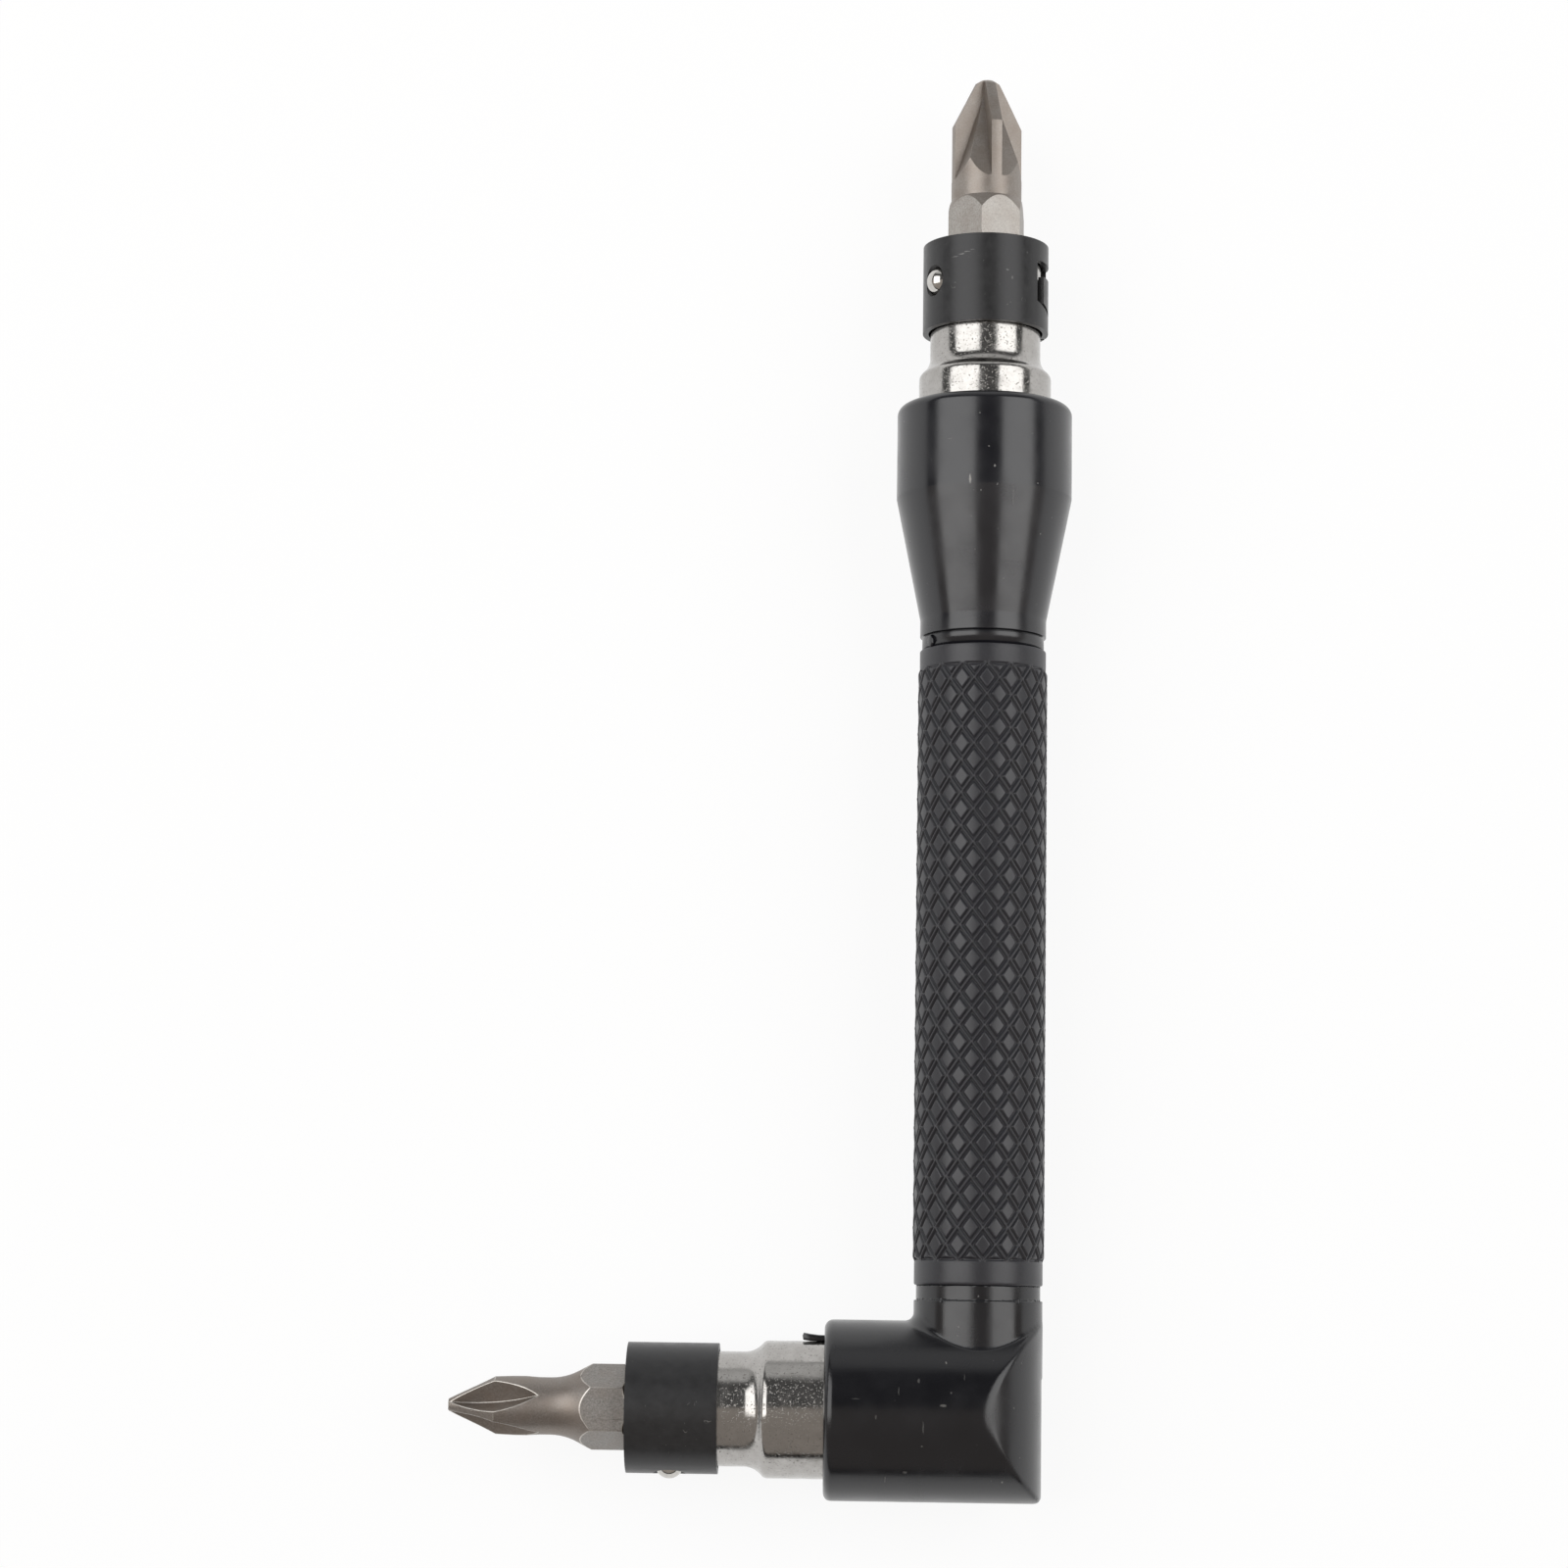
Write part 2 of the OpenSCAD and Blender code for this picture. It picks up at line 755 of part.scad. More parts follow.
// a flute is cut by a wheel with a pointed rim
module flute() {
  half_l = flute_path_r * tan(flute_angle);
  translate([flute_u + flute_path_r, 0, bit_l - flute_deep_at])
    rotate([90, 0, 0])
      rotate_extrude()
        polygon([[0, -half_l], [flute_path_r, 0], [0, half_l]]);
}

module waisted_bit()
  difference() {
    turned_shank()
      waisted_outline();
    for (i = [0 : 3])
      rotate([0, 0, flute_turn + i * 90])
        flute();
  }

// places a piece of the upper end, turned with its socket
module upper_end(z = 0)
  placed()
    along_handle()
      translate([0, 0, upper_at + z])
        rotate([0, 0, upper_turn])
          children();

// places a piece of the lower end, turned with its socket
module lower_end(z = 0)
  placed()
    along_arm()
      translate([0, 0, lower_at + z])
        rotate([0, 0, lower_turn])
          children();

module upper_socket()
  color(colour_chrome)
    upper_end()
      bit_socket();

module upper_collar()
  color(colour_spring)
    upper_end()
      spring_collar(-ball_turn, upper_window_turn - upper_turn);

module upper_ball()
  color(colour_chrome)
    upper_end()
      retaining_ball();

module upper_bit()
  color(colour_tool)
    upper_end(bit_back_z)
      ribbed_bit();

module lower_socket()
  color(colour_chrome)
    lower_end()
      bit_socket();

module lower_collar()
  color(colour_spring)
    lower_end()
      spring_collar(-ball_turn, lower_window_turn - lower_turn);

module lower_ball()
  color(colour_chrome)
    lower_end()
      retaining_ball();

module lower_bit()
  color(colour_tool)
    lower_end(bit_back_z)
      waisted_bit();

head_ferrule();
grip_sleeve();
elbow_housing();
handle_core();
upper_socket();
upper_collar();
upper_ball();
upper_bit();
lower_socket();
lower_collar();
lower_ball();
lower_bit();
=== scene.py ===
import math

import bpy
import numpy as np
from mathutils import Matrix, Vector


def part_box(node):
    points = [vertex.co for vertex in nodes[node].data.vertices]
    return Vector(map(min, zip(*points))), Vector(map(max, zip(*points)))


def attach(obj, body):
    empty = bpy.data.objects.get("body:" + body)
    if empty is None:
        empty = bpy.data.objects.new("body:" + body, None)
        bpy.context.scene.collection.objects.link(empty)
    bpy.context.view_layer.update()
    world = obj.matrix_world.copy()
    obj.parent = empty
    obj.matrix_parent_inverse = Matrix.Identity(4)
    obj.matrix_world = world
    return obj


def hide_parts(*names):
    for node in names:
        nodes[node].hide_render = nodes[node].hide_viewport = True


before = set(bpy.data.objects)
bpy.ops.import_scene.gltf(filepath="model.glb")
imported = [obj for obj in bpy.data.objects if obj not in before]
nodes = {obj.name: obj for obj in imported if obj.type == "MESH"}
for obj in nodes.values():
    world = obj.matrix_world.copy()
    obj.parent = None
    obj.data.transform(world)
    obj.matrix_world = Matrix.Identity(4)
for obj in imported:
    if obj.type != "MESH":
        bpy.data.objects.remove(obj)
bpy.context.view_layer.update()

# One millimetre in Blender's metres, and the scale of a pattern that repeats once in a millimetre
MM = 0.001
PER_MM = 1000.0


def middle(node, axis):
    """The middle of a solid's box along an axis, in millimetres."""
    low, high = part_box(node)
    return (low[axis] + high[axis]) / 2 / MM


# The two centre lines of the tool: the handle runs along Y and the arm along X, at one height
HANDLE_X = middle("head_ferrule", 0)
ARM_Y = middle("lower_socket", 1)
LINE_Z = middle("head_ferrule", 2)
CROSSING = (HANDLE_X, ARM_Y, LINE_Z)


def ends(node, axis):
    """Where a solid starts and ends along an axis, in millimetres from the crossing of the centre lines and
    to the hundredth that it was drawn to."""
    return [round(corner[axis] / MM - CROSSING[axis], 2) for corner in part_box(node)]


# Sizes of the mouldings in millimetres, with places from the crossing. The frame says how far each reaches
WIDE_R = ends("head_ferrule", 0)[1]
SPIGOT_START, HEAD_FACE = ends("head_ferrule", 1)
GRIP_START, GRIP_END = ends("grip_sleeve", 1)
MOUTH_X = ends("elbow_housing", 0)[0]
ELBOW_SPIGOT_END = ends("elbow_housing", 1)[1]

# The necks of head and elbow and the plain bands of the grip between them have one radius
NECK_R = 5.52
# The grooves beside the grip, and the spigots that go into it
GROOVE_R = 5.33
GROOVE_W = 1.27
SPIGOT_R = 4.60
# The seats of the sockets, and the bores behind them
SEAT_R = 5.86
HEAD_SEAT_L = 3.60
ELBOW_SEAT_L = 1.25
HEAD_BORE_R = 3.90
GRIP_BORE_R = 3.75

# Along the handle, from the elbow's neck to the head's short tail, its taper and its wide part
TAIL_L = 1.50
WIDE_L = 8.30
NECK_END = GRIP_START - GROOVE_W
TAIL_START = GRIP_END + GROOVE_W
TAPER_START = TAIL_START + TAIL_L
WIDE_START = HEAD_FACE - WIDE_L

# The elbow's heel is round about a line beside the handle's, and its neck reaches down into the barrel
HEEL_R = 8.50
HEEL_X = -3.02
NECK_FOOT = 3.0

# Rounds that the mould leaves on rims and ridges
HEAD_RIM_ROUND = 0.85
TAPER_FOOT_ROUND = 0.40
TAPER_TOP_ROUND = 0.25
ELBOW_ROUND = 0.75
HEEL_RIDGE_ROUND = 0.22
NECK_RIM_ROUND = 0.10
SEAT_ROUND = 0.12

# The fillet round the elbow's neck: widest under the arm, and dying out from there towards the front and the
# heel by so much for each millimetre
FILLET_MOST = 0.70
FILLET_LEAST = 0.15
FILLET_LOSS = 0.3
FILLET_LEAST_X = -3.2

# A narrow slit in the head, just above its groove, with a round on either edge
SLIT_R = 5.05
SLIT_W = 0.17
SLIT_LOW_ROUND = 0.03
SLIT_TOP_ROUND = 0.06

# The collars round the sockets
COLLAR_R = 5.55

# Where the turned part of each bit starts, at about the end of the cone after its hexagon
UPPER_TURNED_Y = 106.29
LOWER_TURNED_X = -34.6

# How wide the worn or rolled edges of the steel pieces are
SOCKET_EDGE_W = 0.10
COLLAR_EDGE_W = 0.09
UPPER_BIT_EDGE_W = 0.08
LOWER_BIT_EDGE_W = 0.055


# Paint and finish

def ink(code):
    """An sRGB hex colour as linear red, green and blue, with a full fourth value."""
    parts = [int(code[i:i + 2], 16) / 255 for i in (0, 2, 4)]
    return [p / 12.92 if p <= 0.04045 else ((p + 0.055) / 1.055) ** 2.4 for p in parts] + [1.0]


def add(tree, kind, fed, **settings):
    """Adds one node. fed gives its inputs a value or another node's output, settings are its own choices."""
    node = tree.nodes.new(kind)
    for name, value in settings.items():
        setattr(node, name, value)
    for name, value in fed.items():
        if isinstance(value, bpy.types.NodeSocket):
            tree.links.new(value, node.inputs[name])
        else:
            node.inputs[name].default_value = value
    return node


def noise(tree, place, per_mm, detail, **more):
    """Clouds of noise, per_mm of them to the millimetre."""
    fed = {"Vector": place, "Scale": per_mm * PER_MM, "Detail": detail, **more}
    return add(tree, "ShaderNodeTexNoise", fed).outputs["Fac"]


def fade(tree, value, begin, end, low=0.0, high=1.0, eased=False):
    """Turns a value that runs from begin to end into one from low to high, held there beyond them."""
    fed = {"Value": value, "From Min": begin, "From Max": end, "To Min": low, "To Max": high}
    how = "SMOOTHSTEP" if eased else "LINEAR"
    return add(tree, "ShaderNodeMapRange", fed, interpolation_type=how).outputs["Result"]


def reckon(tree, how, *values, **settings):
    """One step of arithmetic on values or node outputs."""
    return add(tree, "ShaderNodeMath", dict(enumerate(values)), operation=how, **settings).outputs[0]


def mixed(tree, share, first, second):
    """The first colour where share is 0 and the second where it is 1; each a hex code or a node's output."""
    first, second = [ink(colour) if isinstance(colour, str) else colour for colour in (first, second)]
    return add(tree, "ShaderNodeMix", {0: share, 6: first, 7: second}, data_type="RGBA").outputs[2]


def dented(tree, height, strength, deep, under=None):
    """A bump of a depth in millimetres, laid over the bump under it if there is one."""
    fed = {"Height": height, "Strength": strength, "Distance": deep * MM}
    if under is not None:
        fed["Normal"] = under
    return add(tree, "ShaderNodeBump", fed).outputs["Normal"]


def surface(name, **plain):
    """A new material with plain values on its shader's own sockets; returns it, its tree and the place."""
    material = bpy.data.materials.new(name)
    material.use_nodes = True
    tree = material.node_tree
    for socket, value in plain.items():
        tree.nodes["Principled BSDF"].inputs[socket].default_value = value
    return material, tree, add(tree, "ShaderNodeTexCoord", {}).outputs["Object"]


def finished(material, colour, roughness, normal=None):
    """Joins a colour, a roughness and a bump to the material's shader, and returns the material."""
    shader = material.node_tree.nodes["Principled BSDF"]
    material.node_tree.links.new(colour, shader.inputs["Base Color"])
    material.node_tree.links.new(roughness, shader.inputs["Roughness"])
    if normal is not None:
        material.node_tree.links.new(normal, shader.inputs["Normal"])
    return material


# Nicks and rubs that the tool has picked up, as seen from above: the place in millimetres from the crossing,
# half the size both ways, and how pale it is
HEAD_NICKS = [
    (-1.46, 79.75, 0.10, 0.42, 1.0), (0.64, 80.9, 0.09, 0.12, 0.6), (0.12, 82.62, 0.07, 0.07, 0.5),
    (-0.52, 78.76, 0.06, 0.09, 0.4), (4.43, 79.68, 0.07, 0.05, 0.5), (2.28, 78.4, 0.03, 0.9, 0.25),
    (-0.66, 85.55, 0.09, 0.07, 0.35), (-0.96, 73.8, 0.05, 0.07, 0.3), (1.54, 71.37, 0.05, 0.1, 0.3),
    (-3.2, 83.4, 0.22, 0.03, 0.3), (3.9, 84.0, 0.1, 0.03, 0.25), (0.9, 79.3, 0.05, 0.1, 0.4)]
ELBOW_NICKS = [
    (-2.83, 4.26, 0.08, 0.09, 0.5), (-5.14, 2.76, 0.12, 0.2, 0.19), (-6.81, 1.86, 0.05, 0.32, 0.22),
    (-3.08, 0.73, 0.3, 0.12, 0.28), (-8.69, -0.29, 0.08, 0.2, 0.17), (-4.74, -1.12, 0.05, 0.55, 0.22),
    (-4.83, -2.67, 0.09, 0.07, 0.28), (-1.29, 3.08, 0.05, 0.3, 0.14), (2.88, 0.57, 0.07, 0.07, 0.28),
    (1.97, -5.61, 0.1, 0.09, 0.55), (-7.86, -5.55, 0.05, 0.35, 0.22), (-6.2, -4.89, 0.2, 0.12, 0.17),
    (-0.14, 9.83, 0.08, 0.09, 0.44), (-1.8, 7.25, 0.07, 0.09, 0.28), (-1.87, 6.51, 0.07, 0.06, 0.28),
    (-10.4, 1.2, 0.4, 0.04, 0.14)]
COLLAR_NICKS = [
    (-2.85, 100.17, 0.32, 0.04, 0.35), (-2.32, 100.36, 0.3, 0.045, 0.5), (-1.81, 100.53, 0.3, 0.04, 0.42),
    (-1.36, 100.68, 0.2, 0.035, 0.3), (1.71, 98.92, 0.14, 0.1, 0.3), (2.15, 98.27, 0.1, 0.16, 0.25)]

# How far a nick reaches above and below the skin, and how ragged its edge is
NICK_DEEP = 0.5
NICK_RAGGED = 0.16


def up_from_line(radius, off):
    """How high a round skin stands over its centre line, at a distance off to one side of that line."""
    return math.sqrt(radius ** 2 - off ** 2)


def head_top(x, y):
    """How high the head's skin stands at a place seen from above."""
    taper = min(max((y - TAPER_START) / (WIDE_START - TAPER_START), 0), 1)
    return up_from_line(NECK_R + (WIDE_R - NECK_R) * taper, x)


def elbow_top(x, y):
    """How high the elbow's skin stands at a place seen from above: its neck, or its barrel and heel."""
    if y > NECK_R:
        return up_from_line(NECK_R, x)
    return min(up_from_line(WIDE_R, y), up_from_line(HEEL_R, max(x - HEEL_X, 0)))


def collar_top(x, y):
    """How high the upper collar stands at a place seen from above."""
    return up_from_line(COLLAR_R, x)


def nicked(tree, place, nicks, top):
    """How far each place is bared by ragged nicks in a skin whose height is top(x, y), from 0 to 1."""
    fed = {"Vector": place, "Scale": 7.0 * PER_MM, "Detail": 2.0}
    waver = add(tree, "ShaderNodeTexNoise", fed).outputs["Color"]
    shake = add(tree, "ShaderNodeVectorMath", {0: waver, 1: (0.5, 0.5, 0.5)}, operation="SUBTRACT").outputs[0]
    amount = (NICK_RAGGED * MM,) * 3
    shift = add(tree, "ShaderNodeVectorMath", {0: shake, 1: amount}, operation="MULTIPLY").outputs[0]
    shaken = add(tree, "ShaderNodeVectorMath", {0: place, 1: shift}, operation="ADD").outputs[0]
    bared = None
    for x, y, half_x, half_y, pale in nicks:
        centre = [(line + off) * MM for line, off in zip(CROSSING, (x, y, top(x, y)))]
        size = (half_x * MM, half_y * MM, NICK_DEEP * MM)
        near = add(tree, "ShaderNodeVectorMath", {0: shaken, 1: centre}, operation="SUBTRACT").outputs[0]
        scaled = add(tree, "ShaderNodeVectorMath", {0: near, 1: size}, operation="DIVIDE").outputs[0]
        far = add(tree, "ShaderNodeVectorMath", {0: scaled}, operation="LENGTH").outputs["Value"]
        # A nick is whole up to 0.6 of its half size and has faded out at 1.15 of it
        nick = fade(tree, far, 1.15, 0.6, 0.0, pale)
        bared = nick if bared is None else reckon(tree, "MAXIMUM", bared, nick)
    return bared


def moulded_nylon(name, nicks, top, deep, pale, ior):
    """Glass-filled nylon from a polished steel mould: near black and half gloss, with the fine turned rings
    of the mould, cloudy flow in the gloss, specks of dust, and the nicks of use at their own places."""
    material, tree, place = surface(name, Metallic=0.0, IOR=ior)
    # The mould was turned: rings 0.1 to 0.3 mm apart run round the handle
    squeezed = add(tree, "ShaderNodeMapping", {"Vector": place, "Scale": (0.06, 1.0, 0.06)}).outputs["Vector"]
    rings = noise(tree, squeezed, 5.0, 3.0, Roughness=0.6)
    # Cloudy gloss from the melt flowing in, in patches of about 3 mm
    clouds = noise(tree, place, 0.35, 4.0)
    # Glass fibres lift the skin into a grain of about 0.08 mm
    grain = noise(tree, place, 12.0, 2.0)
    # Dust: a speck of 0.1 mm in some of the 1.2 mm cells
    cells = add(tree, "ShaderNodeTexVoronoi", {"Vector": place, "Scale": 0.85 * PER_MM})
    speck = fade(tree, cells.outputs["Distance"], 0.085, 0.05, eased=True)
    lot = add(tree, "ShaderNodeSeparateColor", {"Color": cells.outputs["Color"]}).outputs["Red"]
    dust = reckon(tree, "MULTIPLY", speck, fade(tree, lot, 0.72, 1.0, 0.0, 0.3))
    found = reckon(tree, "MAXIMUM", dust, nicked(tree, place, nicks, top))
    colour = mixed(tree, found, mixed(tree, clouds, deep, pale), "989793")
    gloss = fade(tree, clouds, 0.3, 0.7, 0.18, 0.29)
    roughness = reckon(tree, "MULTIPLY_ADD", found, 0.4, gloss)
    mould_rings = dented(tree, rings, 0.3, 0.01)
    return finished(material, colour, roughness, dented(tree, grain, 0.35, 0.006, mould_rings))


def grained_nylon():
    """The same nylon from a spark-eroded mould: matte, with a fine even grain that breaks up highlights."""
    material, tree, place = surface("nylon_moulded_grained", Metallic=0.0, IOR=1.53)
    # Spark erosion leaves pits 0.05 mm wide; they are drawn at 0.14 mm, the finest that shows
    pits = noise(tree, place, 7.0, 3.0, Roughness=0.65)
    # Hands polish the crests a little, in patches of about 4 mm
    handled = noise(tree, place, 0.25, 2.0)
    colour = mixed(tree, pits, "202024", "2f2f34")
    roughness = fade(tree, handled, 0.3, 0.7, 0.31, 0.41)
    return finished(material, colour, roughness, dented(tree, pits, 0.4, 0.02))


def chromed_steel():
    """Turned steel under bright chrome: mirror gloss with a faint ripple, tiny pits and a greyer haze."""
    material, tree, place = surface("chrome_plated", Metallic=1.0)
    haze = noise(tree, place, 0.9, 5.0, Roughness=0.65)
    # Plating pits of 0.05 mm, drawn at 0.16 mm, the finest that shows
    pits = fade(tree, noise(tree, place, 6.0, 3.0), 0.60, 0.72, eased=True)
    colour = mixed(tree, pits, mixed(tree, haze, "bab8b5", "9f9c98"), "85817d")
    roughness = fade(tree, haze, 0.35, 0.7, 0.09, 0.26)
    return finished(material, colour, roughness, dented(tree, pits, 0.5, 0.02, dented(tree, haze, 0.3, 0.03)))


def blackened_spring_steel(nicks, top):
    """Rolled spring steel, oxidised black: dark grey and low in sheen, with cloudy tone, a fine grain and
    the odd bright scratch."""
    material, tree, place = surface("spring_steel_blackened", Metallic=0.45)
    # The black is uneven in clouds of about 0.8 mm
    clouds = noise(tree, place, 1.2, 4.0, Roughness=0.6)
    # Rolling leaves a grain of 0.1 mm
    grain = noise(tree, place, 10.0, 2.0)
    scratch = fade(tree, noise(tree, place, 1.4, 5.0, Distortion=1.5), 0.68, 0.8, 0.0, 0.6, eased=True)
    bared = reckon(tree, "MAXIMUM", scratch, nicked(tree, place, nicks, top))
    colour = mixed(tree, bared, mixed(tree, clouds, "2b2b2c", "3b3b3c"), "8b8a88")
    roughness = fade(tree, clouds, 0.3, 0.7, 0.31, 0.40)
    return finished(material, colour, roughness, dented(tree, grain, 0.3, 0.01))


def bared_spring_steel():
    """The strip's sheared edges, where the black has rubbed through to grey steel."""
    material, tree, place = surface("spring_steel_sheared_edge", Metallic=0.8)
    rub = noise(tree, place, 2.0, 3.0)
    return finished(material, mixed(tree, rub, "3c3b3a", "8c8a87"), fade(tree, rub, 0.0, 1.0, 0.3, 0.5))


def ball_steel():
    """Polished bearing steel: a small mirror with faint rubbed clouds."""
    material, tree, place = surface("bearing_steel_polished", Metallic=1.0)
    rub = noise(tree, place, 3.0, 3.0)
    return finished(material, mixed(tree, rub, "d8d6d2", "b4b1ac"), fade(tree, rub, 0.0, 1.0, 0.06, 0.2))


def turned_share(tree, place, axis, start, onward):
    """1 where a bit is turned and 0 on its hexagon. The turned part is known by its place, from start in
    millimetres and onward, and the cone before it by a skin that leans along the bit."""
    along = add(tree, "ShaderNodeSeparateXYZ", {0: place}).outputs[axis]
    normal = add(tree, "ShaderNodeNewGeometry", {}).outputs["Normal"]
    lean = add(tree, "ShaderNodeSeparateXYZ", {0: normal}).outputs[axis]
    cone = fade(tree, reckon(tree, "ABSOLUTE", lean), 0.15, 0.3)
    past = fade(tree, along, start * MM, (start + 0.1 * onward) * MM)
    return reckon(tree, "MAXIMUM", cone, past)


def blasted_tool_steel(name, pale, deep, rough, turned_part=None):
    """Hardened tool steel, bead-blasted: warm grey and satin, with a sparkle of tiny dents. The turned part,
    given by its axis, its start and its direction, is browner than the hexagon."""
    material, tree, place = surface(name, Metallic=1.0)
    # Bead dents are 0.05 mm wide; they are drawn at 0.15 mm, the finest that shows
    dents = noise(tree, place, 6.5, 4.0, Roughness=0.7)
    tone = mixed(tree, fade(tree, dents, 0.27, 0.73), deep, pale)
    # Heat treatment leaves brownish clouds of about 1.5 mm
    warm = fade(tree, noise(tree, place, 0.6, 3.0), 0.35, 0.75, 0.0, 0.35)
    if turned_part:
        share = turned_share(tree, place, *turned_part)
        warm = reckon(tree, "MULTIPLY_ADD", share, 0.45, warm, use_clamp=True)
    roughness = fade(tree, dents, 0.3, 0.7, rough - 0.05, rough + 0.07)
    return finished(material, mixed(tree, warm, tone, "8a7f76"), roughness, dented(tree, dents, 0.5, 0.025))


def drawn_steel_bar():
    """Cold-drawn steel bar, bare: satin grey with lengthwise lines. It shows only in a tool taken apart."""
    material, tree, place = surface("steel_bar_drawn", Metallic=1.0)
    # Die lines 0.2 mm apart run along the bar
    drawn = add(tree, "ShaderNodeMapping", {"Vector": place, "Scale": (1.0, 0.05, 1.0)}).outputs["Vector"]
    lines = noise(tree, drawn, 5.0, 3.0)
    return finished(material, mixed(tree, lines, "84837f", "a3a19d"), fade(tree, lines, 0.0, 1.0, 0.3, 0.5))


def dress(piece, *finishes):
    """Gives a piece its finishes, the first one everywhere."""
    piece.data.materials.clear()
    for finish in finishes:
        piece.data.materials.append(finish)
    for face in piece.data.polygons:
        face.material_index = 0
        face.use_smooth = True


def shade_evenly(piece, keep_sharp=False):
    """Lets a piece's large faces lead its shading, so that the small rounds between them read as rounds."""
    weigh = piece.modifiers.new("even_shading", "WEIGHTED_NORMAL")
    weigh.weight = 60
    weigh.keep_sharp = keep_sharp


def crisp_edges(angle):
    """A node group that shades a piece smooth, but keeps each edge crisp that turns by more than an angle."""
    tree = bpy.data.node_groups.new("crisp_edges_%d" % angle, "GeometryNodeTree")
    tree.interface.new_socket("Geometry", in_out="INPUT", socket_type="NodeSocketGeometry")
    tree.interface.new_socket("Geometry", in_out="OUTPUT", socket_type="NodeSocketGeometry")
    shape = add(tree, "NodeGroupInput", {}).outputs["Geometry"]
    turn = add(tree, "GeometryNodeInputMeshEdgeAngle", {}).outputs["Unsigned Angle"]
    sharp = add(tree, "FunctionNodeCompare", {0: turn, 1: math.radians(angle)},
                data_type="FLOAT", operation="GREATER_THAN").outputs["Result"]
    for chosen in ({"Shade Smooth": True}, {"Selection": sharp, "Shade Smooth": False}):
        fed = {"Geometry": shape, **chosen}
        shape = add(tree, "GeometryNodeSetShadeSmooth", fed, domain="EDGE").outputs["Geometry"]
    add(tree, "NodeGroupOutput", {"Geometry": shape})
    return tree


def soften(piece, width, crisp, angle=30, rub=-1, clamp=True):
    """Rounds a piece's edges that turn by more than an angle, by a width in millimetres. crisp is the node
    group for its shading, and rub is the number of the finish on the rounded edges."""
    weld = piece.modifiers.new("join_seams", "WELD")
    weld.merge_threshold = 0.002 * MM
    piece.modifiers.new("crisp_edges", "NODES").node_group = crisp
    bevel = piece.modifiers.new("round_edges", "BEVEL")
    bevel.width = width * MM
    bevel.segments = 2
    bevel.limit_method = "ANGLE"
    bevel.angle_limit = math.radians(angle)
    bevel.use_clamp_overlap = clamp
    bevel.harden_normals = False
    bevel.material = rub
    shade_evenly(piece, keep_sharp=True)


# Pieces made here

def solid(name, points, faces):
    """A new piece from its corners in millimetres and its faces."""
    mesh = bpy.data.meshes.new(name)
    mesh.from_pydata((np.asarray(points, float) * MM).tolist(), [], faces)
    mesh.validate()
    piece = bpy.data.objects.new(name, mesh)
    bpy.context.scene.collection.objects.link(piece)
    return piece


def blunt(a, b, r):
    """The distance to what two shapes share, with a round of radius r where they meet."""
    return np.minimum(np.maximum(a + r, b + r), 0) + np.hypot(np.maximum(a + r, 0), np.maximum(b + r, 0)) - r


def merged(a, b, r):
    """The distance to two shapes together, with a fillet of radius r in the corner between them."""
    return np.maximum(r, np.minimum(a, b)) - np.hypot(np.maximum(r - a, 0), np.maximum(r - b, 0))


def onto_skin(shape, spots):
    """Pulls each spot onto the surface of a shape, against the slope of its distance and most of the way at a
    time, so that it settles."""
    nudge = 0.004
    for _ in range(8):
        slope = np.stack([(shape(*(spots + nudge * way).T) - shape(*(spots - nudge * way).T)) / (2 * nudge)
                          for way in np.eye(3)], axis=1)
        steep = np.maximum((slope ** 2).sum(1), 0.3)
        spots = spots - 0.8 * (shape(*spots.T) / steep)[:, None] * slope
    return spots


def skin(name, shape, xs, ys, zs):
    """A closed skin of a shape, from its distance shape(x, y, z) on the planes of a grid, in millimetres.
    Each cell that the surface crosses gets one corner, which is then pulled exactly onto the surface."""
    inside = shape(*np.meshgrid(xs, ys, zs, indexing="ij")) < 0
    corners_in = sum(inside[i:i - 1 or None, j:j - 1 or None, k:k - 1 or None].astype(int)
                     for i in (0, 1) for j in (0, 1) for k in (0, 1))
    cut = (corners_in > 0) & (corners_in < 8)
    number = np.full(cut.shape, -1)
    number[cut] = np.arange(cut.sum())
    cells = np.nonzero(cut)
    spots = np.stack([(grid[at] + grid[at + 1]) / 2 for grid, at in zip((xs, ys, zs), cells)], axis=1)
    faces = []
    for axis in range(3):
        filled = np.moveaxis(inside, axis, 0)
        cell = np.moveaxis(number, axis, 0)
        if axis == 1:
            filled, cell = filled.transpose(0, 2, 1), cell.transpose(0, 2, 1)
        here, there = filled[:-1, 1:-1, 1:-1], filled[1:, 1:-1, 1:-1]
        a, b, c = np.nonzero(here != there)
        quad = np.stack([cell[a, b, c], cell[a, b + 1, c], cell[a, b + 1, c + 1], cell[a, b, c + 1]], axis=1)
        facing_back = ~here[a, b, c]
        quad[facing_back] = quad[facing_back][:, ::-1]
        faces.append(quad)
    return solid(name, onto_skin(shape, spots) + CROSSING, np.concatenate(faces).tolist())


def planes(*stretches):
    """The planes of a skin's grid, from stretches of a start, an end and a step in millimetres."""
    return np.concatenate([np.arange(*stretch) for stretch in stretches])


